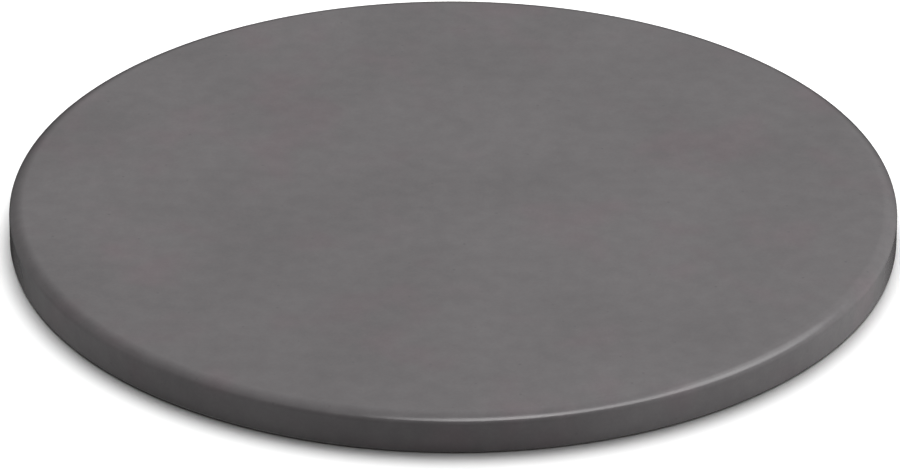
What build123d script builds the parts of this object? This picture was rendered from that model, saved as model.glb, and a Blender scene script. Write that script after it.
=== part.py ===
from build123d import *
from math import radians, sin
import os

# Round glazed pizza stone, in millimetres.
# Z points up, and the origin is the centre of the flat underside.

# The finished stone, glaze included
overall_diameter = 360.0
overall_height = 16.0

# The top edge: a tight corner turns in from the wall by an angle in degrees, and then a wide shoulder
# turns through what is left of the quarter and eases into the flat top
corner_radius = 2.5
corner_turn = 50.0
shoulder_radius = 8.0

# The bevel round the fired body's underside, which keeps its foot from chipping
foot_bevel = 1.0

# The glaze: an even skin, wiped back to a level line just above the surface the stone stands on
glaze_thickness = 0.4
glaze_foot_gap = 0.25

# The fired body lies inside the glaze by the glaze's thickness
body_radius = overall_diameter / 2 - glaze_thickness
body_height = overall_height - glaze_thickness
body_corner_radius = corner_radius - glaze_thickness
body_shoulder_radius = shoulder_radius - glaze_thickness

# How far the body's top edge comes down its wall
corner_drop = body_corner_radius * sin(radians(corner_turn))
shoulder_drop = body_shoulder_radius * (1 - sin(radians(corner_turn)))
body_wall_top = body_height - corner_drop - shoulder_drop


def body_section():
    """Half section of the fired body, with the distance from the axis along X and the height along Y."""
    with BuildSketch() as section:
        with BuildLine():
            Polyline((0, body_height), (0, 0), (body_radius - foot_bevel, 0), (body_radius, foot_bevel))
            wall = Line((body_radius, foot_bevel), (body_radius, body_wall_top))
            corner = JernArc(wall @ 1, wall % 1, body_corner_radius, corner_turn)
            shoulder = JernArc(corner @ 1, corner % 1, body_shoulder_radius, 90 - corner_turn)
            Line(shoulder @ 1, (0, body_height))
        make_face()
    return section.sketch


def glaze_section():
    """Half section of the glaze: the body's outline grown evenly, less the body, down to the wiped line."""
    with BuildSketch() as section:
        add(offset(body_section(), glaze_thickness, kind=Kind.INTERSECTION))
        add(body_section(), mode=Mode.SUBTRACT)
        with Locations((0, glaze_foot_gap)):
            Rectangle(overall_diameter, overall_height, align=Align.MIN, mode=Mode.INTERSECT)
    return section.sketch


def turned(section):
    """Solid that a half section sweeps out in a full turn about the upright axis."""
    return revolve(Plane.XZ * section, axis=Axis.Z)


os.makedirs("parts", exist_ok=True)
export_step(turned(body_section()), "parts/stone_body.step")
export_step(turned(glaze_section()), "parts/glaze_coat.step")
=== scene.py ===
import bmesh
import bpy
import math
from mathutils import Matrix, Vector


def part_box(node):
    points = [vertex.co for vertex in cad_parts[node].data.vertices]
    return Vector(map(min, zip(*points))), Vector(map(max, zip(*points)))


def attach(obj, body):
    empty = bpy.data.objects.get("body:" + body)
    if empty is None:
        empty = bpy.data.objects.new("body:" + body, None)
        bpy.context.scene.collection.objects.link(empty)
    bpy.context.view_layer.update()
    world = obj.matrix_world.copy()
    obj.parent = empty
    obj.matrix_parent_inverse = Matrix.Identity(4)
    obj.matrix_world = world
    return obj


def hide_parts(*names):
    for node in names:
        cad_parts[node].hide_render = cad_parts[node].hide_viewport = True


# A round glazed pizza stone on a pale floor. Metres; Z is up and the camera looks along +Y.

MM = 0.001

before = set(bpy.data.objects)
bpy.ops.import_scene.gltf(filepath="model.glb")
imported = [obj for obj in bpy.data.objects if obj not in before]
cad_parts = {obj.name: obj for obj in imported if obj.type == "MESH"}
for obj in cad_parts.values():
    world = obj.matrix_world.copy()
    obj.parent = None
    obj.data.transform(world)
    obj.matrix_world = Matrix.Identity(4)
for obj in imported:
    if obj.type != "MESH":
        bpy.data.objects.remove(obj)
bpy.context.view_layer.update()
glaze_low, glaze_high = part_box("glaze_coat")
body_low, body_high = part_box("stone_body")

# Sizes read from the frame. The radius is the least half width, so that the piece stays in the
# frame's box.
STONE_RADIUS = min(-glaze_low.x, glaze_high.x, -glaze_low.y, glaze_high.y)
STONE_HEIGHT = glaze_high.z
GLAZE_FOOT_GAP = glaze_low.z
GLAZE_THICKNESS = STONE_HEIGHT - body_high.z
BODY_RADIUS = STONE_RADIUS - GLAZE_THICKNESS
BODY_HEIGHT = body_high.z

# The top edge, as the frame has it: a tight corner turns in from the wall, then a wide shoulder
# eases into the flat top
CORNER_RADIUS = 2.5 * MM
SHOULDER_RADIUS = 8.0 * MM
CORNER_TURN = math.radians(50)
QUARTER_TURN = math.radians(90)

# The foot. The glaze rounds off the body's bevel as it flows over it, and ends in a small lip.
# It is cut a little low, because rounding the lip raises it again.
BODY_FOOT_BEVEL = 1.0 * MM
GLAZE_FOOT_RADIUS = 1.42 * MM
GLAZE_LIP_RADIUS = 0.1 * MM
GLAZE_CUT_HEIGHT = GLAZE_FOOT_GAP - GLAZE_LIP_RADIUS / 2

# How finely the pieces are divided, and the sharpest turn that is shaded smooth
ROUND_STEPS = 360
EDGE_STEPS = 27
FOOT_STEPS = 9
LIP_STEPS = 3
TOP_RINGS = 8
RING_SPACING = 20 * MM
SMOOTH_ANGLE = math.radians(35)

# The smallest distance that tells two places apart when faces and edges are chosen, the distance
# within which points are merged, and how upright a flat face's normal is
NEAR = 0.02 * MM
MERGE_DISTANCE = 0.1 * NEAR
UPRIGHT = 0.99999

# The camera, worked out from the stone's outline in the photograph
CAMERA_DISTANCE = 3.186
CAMERA_ELEVATION = math.radians(28.476)
CAMERA_PITCH_OFFSET = 0.00043
CAMERA_YAW_OFFSET = -0.00046
CAMERA_ROLL = 0.0026
PHOTO_WIDTH_PX = 900
FOCAL_LENGTH_PX = 7837
SENSOR_WIDTH_MM = 36.0
CAMERA_CLIP_END = 100

# The photograph's contrast
TONE_GAMMA = 0.7

# The studio's soft glows, each as degrees round from +X towards the camera, degrees up, the half
# width that it fades out over in degrees, and the brightness in its middle. The floor glows stand
# in for the floor in the glaze's reflections.
RIGHT_REAR_GLOW = (330, 55, 75, 0.92)
LEFT_REAR_GLOW = (240, 55, 75, 0.40)
RIGHT_FLOOR_GLOW = (0, -20, 75, 1.02)
LEFT_FLOOR_GLOW = (180, -20, 75, 0.67)
FRONT_FLOOR_GLOW = (90, -70, 60, 0.70)

# The white that the camera sees past the floor
BACKDROP_BRIGHTNESS = 1.0

# The soft lights, each as degrees round and up, its width in degrees, and its strength. The soft
# box is a long one at the right, made of even steps along it, each in degrees round and up. It
# draws the bright line along the near edge.
FLOOR_LIGHT = (270, 58, 54, 3.1)
FRONT_OVERHEAD_LIGHT = (80, 71, 28, 0.76)
SOFT_BOX_STEPS = ((330, 50), (352, 48), (8, 56), (27, 64), (54, 69))
SOFT_BOX_WIDTH = 28
SOFT_BOX_STRENGTH = 0.37

# The floor reaches well past what the camera sees
FLOOR_WIDTH = 12.0


# Modelling by hand in edit mode


def round_blank(name, radius, height):
    """A round blank standing on the floor at the axis, left in edit mode."""
    bpy.ops.object.select_all(action="DESELECT")
    bpy.ops.mesh.primitive_cylinder_add(
        vertices=ROUND_STEPS, radius=radius, depth=height, location=(0, 0, height / 2)
    )
    piece = bpy.context.object
    piece.name = piece.data.name = name
    bpy.ops.object.transform_apply(location=True, rotation=True, scale=True)
    bpy.ops.object.mode_set(mode="EDIT")
    return piece


def choose_faces(piece, wanted):
    """Selects exactly the faces that a test picks out."""
    bpy.ops.mesh.select_mode(type="FACE")
    bpy.ops.mesh.select_all(action="DESELECT")
    mesh = bmesh.from_edit_mesh(piece.data)
    for face in mesh.faces:
        if wanted(face):
            face.select_set(True)
    bmesh.update_edit_mesh(piece.data)


def choose_ring(piece, radius, height):
    """Selects exactly the edges of the level ring at a radius and a height."""
    bpy.ops.mesh.select_mode(type="EDGE")
    bpy.ops.mesh.select_all(action="DESELECT")
    mesh = bmesh.from_edit_mesh(piece.data)
    for edge in mesh.edges:
        ends = [vertex.co for vertex in edge.verts]
        level = all(abs(end.z - height) < NEAR for end in ends)
        round_it = all(abs(math.hypot(end.x, end.y) - radius) < NEAR for end in ends)
        if level and round_it:
            edge.select_set(True)
    bmesh.update_edit_mesh(piece.data)


def soften_ring(piece, radius, height, width, steps):
    """Rounds the corner along a ring, or bevels it where there is only one step."""
    choose_ring(piece, radius, height)
    bpy.ops.mesh.bevel(offset=width, offset_type="OFFSET", segments=steps, profile=0.5)


def edge_place(turn, skin):
    """How far in and up from the wall's top the top edge is, once it has turned by an angle."""
    tight, wide = min(turn, CORNER_TURN), max(turn, CORNER_TURN)
    corner, shoulder = CORNER_RADIUS - skin, SHOULDER_RADIUS - skin
    inwards = corner * (1 - math.cos(tight)) + shoulder * (math.cos(CORNER_TURN) - math.cos(wide))
    upwards = corner * math.sin(tight) + shoulder * (math.sin(wide) - math.sin(CORNER_TURN))
    return inwards, upwards


def raise_edge(piece, radius, skin):
    """Pulls the blank's top face up and in, step by step, along the top edge's two arcs."""
    choose_faces(piece, lambda face: face.normal.z > UPRIGHT)
    inwards, upwards = 0, 0
    for step in range(1, EDGE_STEPS + 1):
        further_in, further_up = edge_place(QUARTER_TURN * step / EDGE_STEPS, skin)
        narrower = (radius - further_in) / (radius - inwards)
        bpy.ops.mesh.extrude_region_move(
            TRANSFORM_OT_translate={"value": (0, 0, further_up - upwards)}
        )
        bpy.ops.transform.resize(value=(narrower, narrower, 1), center_override=(0, 0, 0))
        inwards, upwards = further_in, further_up


def divide_face(piece, facing):
    """Divides the flat face that points up (1) or down (-1) by even rings round its middle."""
    choose_faces(piece, lambda face: face.normal.z * facing > UPRIGHT)
    for _ in range(TOP_RINGS):
        bpy.ops.mesh.inset(thickness=RING_SPACING)
    bpy.ops.mesh.poke()


def close_mesh(piece):
    """Merges doubled points and points every face outwards, and leaves edit mode."""
    bpy.ops.mesh.select_all(action="SELECT")
    bpy.ops.mesh.remove_doubles(threshold=MERGE_DISTANCE)
    bpy.ops.mesh.normals_make_consistent(inside=False)
    bpy.ops.object.mode_set(mode="OBJECT")


# The stone's two pieces


def make_glaze():
    """The glaze coat: a skin over the top and wall that turns in at the foot and ends in a lip."""
    wall_top = STONE_HEIGHT - edge_place(QUARTER_TURN, 0)[1]
    piece = round_blank("glaze", STONE_RADIUS, wall_top)
    raise_edge(piece, STONE_RADIUS, 0)
    soften_ring(piece, STONE_RADIUS, 0, GLAZE_FOOT_RADIUS, FOOT_STEPS)
    bpy.ops.mesh.select_all(action="SELECT")
    bpy.ops.mesh.bisect(
        plane_co=(0, 0, GLAZE_CUT_HEIGHT), plane_no=(0, 0, 1), clear_inner=True
    )
    divide_face(piece, 1)
    close_mesh(piece)

    skin = piece.modifiers.new("skin", "SOLIDIFY")
    skin.thickness = GLAZE_THICKNESS
    skin.offset = -1
    skin.use_even_offset = True
    bpy.ops.object.modifier_apply(modifier=skin.name)

    bpy.ops.object.mode_set(mode="EDIT")
    lowest = min(vertex.co.z for vertex in piece.data.vertices)
    foot_reach = max(
        math.hypot(vertex.co.x, vertex.co.y)
        for vertex in piece.data.vertices
        if vertex.co.z < lowest + NEAR
    )
    soften_ring(piece, foot_reach, lowest, GLAZE_LIP_RADIUS, LIP_STEPS)
    close_mesh(piece)
    bpy.ops.object.shade_smooth_by_angle(angle=SMOOTH_ANGLE)
    return piece


def make_stone():
    """The fired body inside the glaze, which shows on its flat underside and bevelled foot."""
    wall_top = BODY_HEIGHT - edge_place(QUARTER_TURN, GLAZE_THICKNESS)[1]
    piece = round_blank("bare_stone", BODY_RADIUS, wall_top)
    raise_edge(piece, BODY_RADIUS, GLAZE_THICKNESS)
    soften_ring(piece, BODY_RADIUS, 0, BODY_FOOT_BEVEL, 1)
    divide_face(piece, 1)
    divide_face(piece, -1)
    close_mesh(piece)
    bpy.ops.object.shade_smooth_by_angle(angle=SMOOTH_ANGLE)
    return piece


def make_floor():
    """The plain pale floor, which the glaze's reflections pass over."""
    bpy.ops.object.select_all(action="DESELECT")
    bpy.ops.mesh.primitive_plane_add(size=FLOOR_WIDTH, location=(0, 0, 0))
    piece = bpy.context.object
    piece.name = piece.data.name = "floor"
    piece.visible_glossy = False
    return piece


# Materials


class Finish:
    """A material with the few nodes that every finish here starts from."""

    def __init__(self, name):
        self.material = bpy.data.materials.new(name)
        self.material.use_nodes = True
        self.nodes = self.material.node_tree.nodes
        self.links = self.material.node_tree.links
        self.shader = self.nodes["Principled BSDF"]
        self.place = self.nodes.new("ShaderNodeTexCoord").outputs["Object"]

    def moved(self, offset):
        """The place on the object, moved along, so that two patterns don't fall together."""
        node = self.nodes.new("ShaderNodeMapping")
        node.inputs["Location"].default_value = offset
        self.links.new(self.place, node.inputs["Vector"])
        return node.outputs["Vector"]

    def noise(self, scale, detail=2.0, roughness=0.5, offset=(0, 0, 0)):
        """A cloudy pattern with so many cells per metre, about 0.5 on average."""
        node = self.nodes.new("ShaderNodeTexNoise")
        node.inputs["Scale"].default_value = scale
        node.inputs["Detail"].default_value = detail
        node.inputs["Roughness"].default_value = roughness
        self.links.new(self.moved(offset), node.inputs["Vector"])
        return node.outputs["Fac"]

    def specks(self, scale, size, share, offset=(0, 0, 0)):
        """Round specks, 1 in the middle and 0 outside, in a share of so many cells per metre."""
        cells = self.nodes.new("ShaderNodeTexVoronoi")
        cells.inputs["Scale"].default_value = scale
        self.links.new(self.moved(offset), cells.inputs["Vector"])
        spot = self.ramp(cells.outputs["Distance"], size, 0.5 * size)
        red = self.nodes.new("ShaderNodeSeparateColor")
        self.links.new(cells.outputs["Color"], red.inputs["Color"])
        chosen = self.nodes.new("ShaderNodeMath")
        chosen.operation = "LESS_THAN"
        self.links.new(red.outputs["Red"], chosen.inputs[0])
        chosen.inputs[1].default_value = share
        both = self.nodes.new("ShaderNodeMath")
        both.operation = "MULTIPLY"
        self.links.new(spot, both.inputs[0])
        self.links.new(chosen.outputs["Value"], both.inputs[1])
        return both.outputs["Value"]

    def from_axis(self):
        """The distance from the stone's upright axis, in metres."""
        flat = self.nodes.new("ShaderNodeVectorMath")
        flat.operation = "MULTIPLY"
        flat.inputs[1].default_value = (1, 1, 0)
        self.links.new(self.place, flat.inputs[0])
        length = self.nodes.new("ShaderNodeVectorMath")
        length.operation = "LENGTH"
        self.links.new(flat.outputs["Vector"], length.inputs[0])
        return length.outputs["Value"]

    def ramp(self, value, low, high, at_low=0.0, at_high=1.0):
        """Maps a pattern's range onto another, and flattens out softly at its ends."""
        node = self.nodes.new("ShaderNodeMapRange")
        node.interpolation_type = "SMOOTHSTEP"
        node.inputs["From Min"].default_value = low
        node.inputs["From Max"].default_value = high
        node.inputs["To Min"].default_value = at_low
        node.inputs["To Max"].default_value = at_high
        self.links.new(value, node.inputs["Value"])
        return node.outputs["Result"]

    def blend(self, share, first, second, kind="MIX"):
        """Mixes two colours, each a plain colour or another node's output, by a pattern."""
        node = self.nodes.new("ShaderNodeMix")
        node.data_type = "RGBA"
        node.blend_type = kind
        self.put(share, node.inputs["Factor"])
        self.put(first, node.inputs[6])
        self.put(second, node.inputs[7])
        return node.outputs[2]

    def put(self, value, socket):
        """Gives a socket a plain value or links it to another node's output."""
        if isinstance(value, bpy.types.NodeSocket):
            self.links.new(value, socket)
        elif isinstance(value, tuple) and len(value) == 3:
            socket.default_value = (*value, 1.0)
        else:
            socket.default_value = value

    def relief(self, height, depth, under=None):
        """A bump from a pattern, with its depth in metres, over another bump if there is one."""
        node = self.nodes.new("ShaderNodeBump")
        node.inputs["Strength"].default_value = 1.0
        node.inputs["Distance"].default_value = depth
        self.links.new(height, node.inputs["Height"])
        if under is not None:
            self.links.new(under, node.inputs["Normal"])
        return node.outputs["Normal"]


# The glaze. Each layer of its pattern has so many cells per metre, and strays from the tone by a
# share either way. Specks lie in a share of their cells, their size is a part of a cell, and their
# shade is a multiple of the colour.
GLAZE_COLOUR = (0.160, 0.153, 0.156)
GLAZE_NOISE_RANGE = (0.2, 0.8)
CLOUD_CELLS, CLOUD_SHARE = 17, 0.055
MOTTLE_CELLS, MOTTLE_SHARE = 125, 0.045
GRAIN_CELLS, GRAIN_SHARE = 760, 0.025
WARM_CELLS, WARM_RANGE = 31, (0.5, 0.75)
NO_TINT, WARM_TINT = (1.0, 1.0, 1.0), (1.045, 0.98, 1.0)
SPECK_CELLS, SPECK_SIZE, SPECK_SHARE, SPECK_SHADE = 230, 0.18, 0.08, 0.9
GLAZE_ROUGHNESS, GLAZE_ROUGHNESS_SHARE = 0.22, 0.10
GLAZE_SPECULAR = 0.5
WAVE_CELLS, WAVE_DEPTH = 260, 0.010 * MM
PEEL_CELLS, PEEL_DEPTH = 1100, 0.004 * MM

# The bare stone, in the same way
BARE_STONE_COLOUR = (0.56, 0.47, 0.35)
STONE_CLOUD_CELLS, STONE_CLOUD_RANGE, STONE_CLOUD_SHADES = 22, (0.3, 0.7), (0.93, 1.06)
STONE_GRAIN_CELLS, STONE_GRAIN_RANGE, STONE_GRAIN_SHADES = 1500, (0.25, 0.75), (0.86, 1.12)
STONE_GRAIN_DEPTH = 0.10 * MM
DARK_GROG_CELLS, DARK_GROG_SIZE, DARK_GROG_SHARE, DARK_GROG_SHADE = 420, 0.2, 0.08, 0.45
PALE_GROG_CELLS, PALE_GROG_SIZE, PALE_GROG_SHARE, PALE_GROG_SHADE = 300, 0.22, 0.12, 1.3
PORE_CELLS, PORE_SIZE, PORE_SHARE, PORE_DEPTH = 650, 0.25, 0.12, 0.08 * MM
TOASTED_COLOUR, TOASTED_WIDTH, TOASTED_SHARE = (0.42, 0.27, 0.15), 9 * MM, 0.55
STONE_ROUGHNESS_RANGE = (0.82, 0.95)
STONE_SPECULAR = 0.3

FLOOR_COLOUR = (0.8, 0.8, 0.8)


def shade(colour, factor):
    """A colour made darker or paler."""
    return tuple(channel * factor for channel in colour)


def glaze_finish():
    """Satin dark grey glaze: softly clouded, faintly warm in places, with grain and fine specks."""
    finish = Finish("dark_glaze")
    clouds = finish.noise(CLOUD_CELLS, detail=2.5)
    warmth = finish.noise(WARM_CELLS, detail=2, offset=(5, 2, 1))
    mottle = finish.noise(MOTTLE_CELLS, detail=3)
    grain = finish.noise(GRAIN_CELLS, detail=2)

    tint = finish.blend(finish.ramp(warmth, *WARM_RANGE), NO_TINT, WARM_TINT)
    colour = finish.blend(1.0, GLAZE_COLOUR, tint, kind="MULTIPLY")
    for pattern, share in ((clouds, CLOUD_SHARE), (mottle, MOTTLE_SHARE), (grain, GRAIN_SHARE)):
        tone = finish.ramp(pattern, *GLAZE_NOISE_RANGE, 1 - share, 1 + share)
        colour = finish.blend(1.0, colour, tone, kind="MULTIPLY")
    specks = finish.specks(SPECK_CELLS, SPECK_SIZE, SPECK_SHARE)
    colour = finish.blend(specks, colour, shade(GLAZE_COLOUR, SPECK_SHADE))
    finish.put(colour, finish.shader.inputs["Base Color"])

    low, high = (GLAZE_ROUGHNESS * (1 + sign * GLAZE_ROUGHNESS_SHARE) for sign in (-1, 1))
    gloss = finish.ramp(mottle, *GLAZE_NOISE_RANGE, low, high)
    finish.put(gloss, finish.shader.inputs["Roughness"])
    finish.shader.inputs["Specular IOR Level"].default_value = GLAZE_SPECULAR

    waves = finish.relief(finish.noise(WAVE_CELLS, detail=1), WAVE_DEPTH)
    peel = finish.relief(finish.noise(PEEL_CELLS, detail=2), PEEL_DEPTH, under=waves)
    finish.put(peel, finish.shader.inputs["Normal"])
    return finish.material


def stone_finish():
    """Bare fired ceramic: buff, matt and grainy, with pores, grog and a faintly toasted rim."""
    finish = Finish("bare_stone")
    clouds = finish.noise(STONE_CLOUD_CELLS, detail=3)
    grain = finish.noise(STONE_GRAIN_CELLS, detail=4, roughness=0.65)
    dark_grog = finish.specks(DARK_GROG_CELLS, DARK_GROG_SIZE, DARK_GROG_SHARE)
    pale_grog = finish.specks(
        PALE_GROG_CELLS, PALE_GROG_SIZE, PALE_GROG_SHARE, offset=(3, 7, 4)
    )
    pores = finish.specks(PORE_CELLS, PORE_SIZE, PORE_SHARE, offset=(9, 1, 2))

    darker, paler = (shade(BARE_STONE_COLOUR, factor) for factor in STONE_CLOUD_SHADES)
    colour = finish.blend(finish.ramp(clouds, *STONE_CLOUD_RANGE), darker, paler)
    tone = finish.ramp(grain, *STONE_GRAIN_RANGE, *STONE_GRAIN_SHADES)
    colour = finish.blend(1.0, colour, tone, kind="MULTIPLY")
    colour = finish.blend(dark_grog, colour, shade(BARE_STONE_COLOUR, DARK_GROG_SHADE))
    colour = finish.blend(pale_grog, colour, shade(BARE_STONE_COLOUR, PALE_GROG_SHADE))
    toasted = finish.ramp(
        finish.from_axis(), BODY_RADIUS - TOASTED_WIDTH, BODY_RADIUS, 0.0, TOASTED_SHARE
    )
    colour = finish.blend(toasted, colour, TOASTED_COLOUR)
    finish.put(colour, finish.shader.inputs["Base Color"])
    gloss = finish.ramp(grain, *STONE_GRAIN_RANGE, *STONE_ROUGHNESS_RANGE)
    finish.put(gloss, finish.shader.inputs["Roughness"])
    finish.shader.inputs["Specular IOR Level"].default_value = STONE_SPECULAR

    coarse = finish.relief(grain, STONE_GRAIN_DEPTH)
    pitted = finish.relief(pores, -PORE_DEPTH, under=coarse)
    finish.put(pitted, finish.shader.inputs["Normal"])
    return finish.material


def floor_finish():
    """Plain and fully matt."""
    finish = Finish("pale_floor")
    finish.put(FLOOR_COLOUR, finish.shader.inputs["Base Color"])
    finish.shader.inputs["Roughness"].default_value = 1.0
    finish.shader.inputs["Specular IOR Level"].default_value = 0.0
    return finish.material


# Light and camera


def towards(azimuth, elevation):
    """The direction in degrees round from +X towards the camera, and up."""
    around, up = math.radians(azimuth), math.radians(elevation)
    return Vector((math.cos(around) * math.cos(up), -math.sin(around) * math.cos(up), math.sin(up)))


def add_soft_light(name, azimuth, elevation, width, strength, onto):
    """A far soft light that reaches only some pieces, with its width in degrees as they see it."""
    data = bpy.data.lights.new(name, "SUN")
    data.angle = math.radians(width)
    data.energy = strength
    light = bpy.data.objects.new(name, data)
    bpy.context.scene.collection.objects.link(light)
    light.rotation_euler = towards(azimuth, elevation).to_track_quat("Z", "Y").to_euler()
    reached = bpy.data.collections.new(name)
    for piece in onto:
        reached.objects.link(piece)
    light.light_linking.receiver_collection = reached


def add_dome(glows):
    """The studio: soft glows all round the stone, and plain white where the camera looks."""
    world = bpy.data.worlds.new("studio")
    world.use_nodes = True
    nodes, links = world.node_tree.nodes, world.node_tree.links
    place = nodes.new("ShaderNodeTexCoord").outputs["Generated"]
    total = None
    for azimuth, elevation, half_width, brightness in glows:
        facing = nodes.new("ShaderNodeVectorMath")
        facing.operation = "DOT_PRODUCT"
        facing.inputs[1].default_value = towards(azimuth, elevation)
        links.new(place, facing.inputs[0])
        glow = nodes.new("ShaderNodeMapRange")
        glow.interpolation_type = "SMOOTHSTEP"
        glow.inputs["From Min"].default_value = math.cos(math.radians(half_width))
        glow.inputs["To Max"].default_value = brightness
        links.new(facing.outputs["Value"], glow.inputs["Value"])
        if total is None:
            total = glow.outputs["Result"]
        else:
            both = nodes.new("ShaderNodeMath")
            links.new(total, both.inputs[0])
            links.new(glow.outputs["Result"], both.inputs[1])
            total = both.outputs["Value"]
    seen = nodes.new("ShaderNodeMix")
    links.new(nodes.new("ShaderNodeLightPath").outputs["Is Camera Ray"], seen.inputs[0])
    links.new(total, seen.inputs[2])
    seen.inputs[3].default_value = BACKDROP_BRIGHTNESS
    background = nodes["Background"]
    background.inputs["Color"].default_value = (1, 1, 1, 1)
    links.new(seen.outputs[0], background.inputs["Strength"])
    bpy.context.scene.world = world


def add_camera():
    """The photograph's camera, which looks at the stone's middle but for small offsets."""
    data = bpy.data.cameras.new("camera")
    data.sensor_width = SENSOR_WIDTH_MM
    data.lens = FOCAL_LENGTH_PX * SENSOR_WIDTH_MM / PHOTO_WIDTH_PX
    data.clip_end = CAMERA_CLIP_END
    camera = bpy.data.objects.new("camera", data)
    bpy.context.scene.collection.objects.link(camera)
    camera.location = (
        0,
        -CAMERA_DISTANCE * math.cos(CAMERA_ELEVATION),
        CAMERA_DISTANCE * math.sin(CAMERA_ELEVATION),
    )
    turn = (
        Matrix.Rotation(-CAMERA_YAW_OFFSET, 4, "Z")
        @ Matrix.Rotation(math.pi / 2 - CAMERA_ELEVATION - CAMERA_PITCH_OFFSET, 4, "X")
        @ Matrix.Rotation(CAMERA_ROLL, 4, "Z")
    )
    camera.rotation_euler = turn.to_euler()
    bpy.context.scene.camera = camera


glaze = make_glaze()
glaze.data.materials.append(glaze_finish())
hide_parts("glaze_coat")
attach(glaze, "root")

stone = make_stone()
stone.data.materials.append(stone_finish())
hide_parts("stone_body")
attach(stone, "root")

floor = make_floor()
floor.data.materials.append(floor_finish())

add_dome((RIGHT_REAR_GLOW, LEFT_REAR_GLOW, RIGHT_FLOOR_GLOW, LEFT_FLOOR_GLOW, FRONT_FLOOR_GLOW))
# The floor has a light of its own, so that its shadow is as short and dark as the photograph's
add_soft_light("floor_light", *FLOOR_LIGHT, (floor,))
add_soft_light("front_overhead_light", *FRONT_OVERHEAD_LIGHT, (glaze, stone))
for azimuth, elevation in SOFT_BOX_STEPS:
    add_soft_light(
        "soft_box", azimuth, elevation, SOFT_BOX_WIDTH, SOFT_BOX_STRENGTH, (glaze, stone)
    )
add_camera()
bpy.context.scene.view_settings.view_transform = "Standard"
bpy.context.scene.view_settings.gamma = TONE_GAMMA
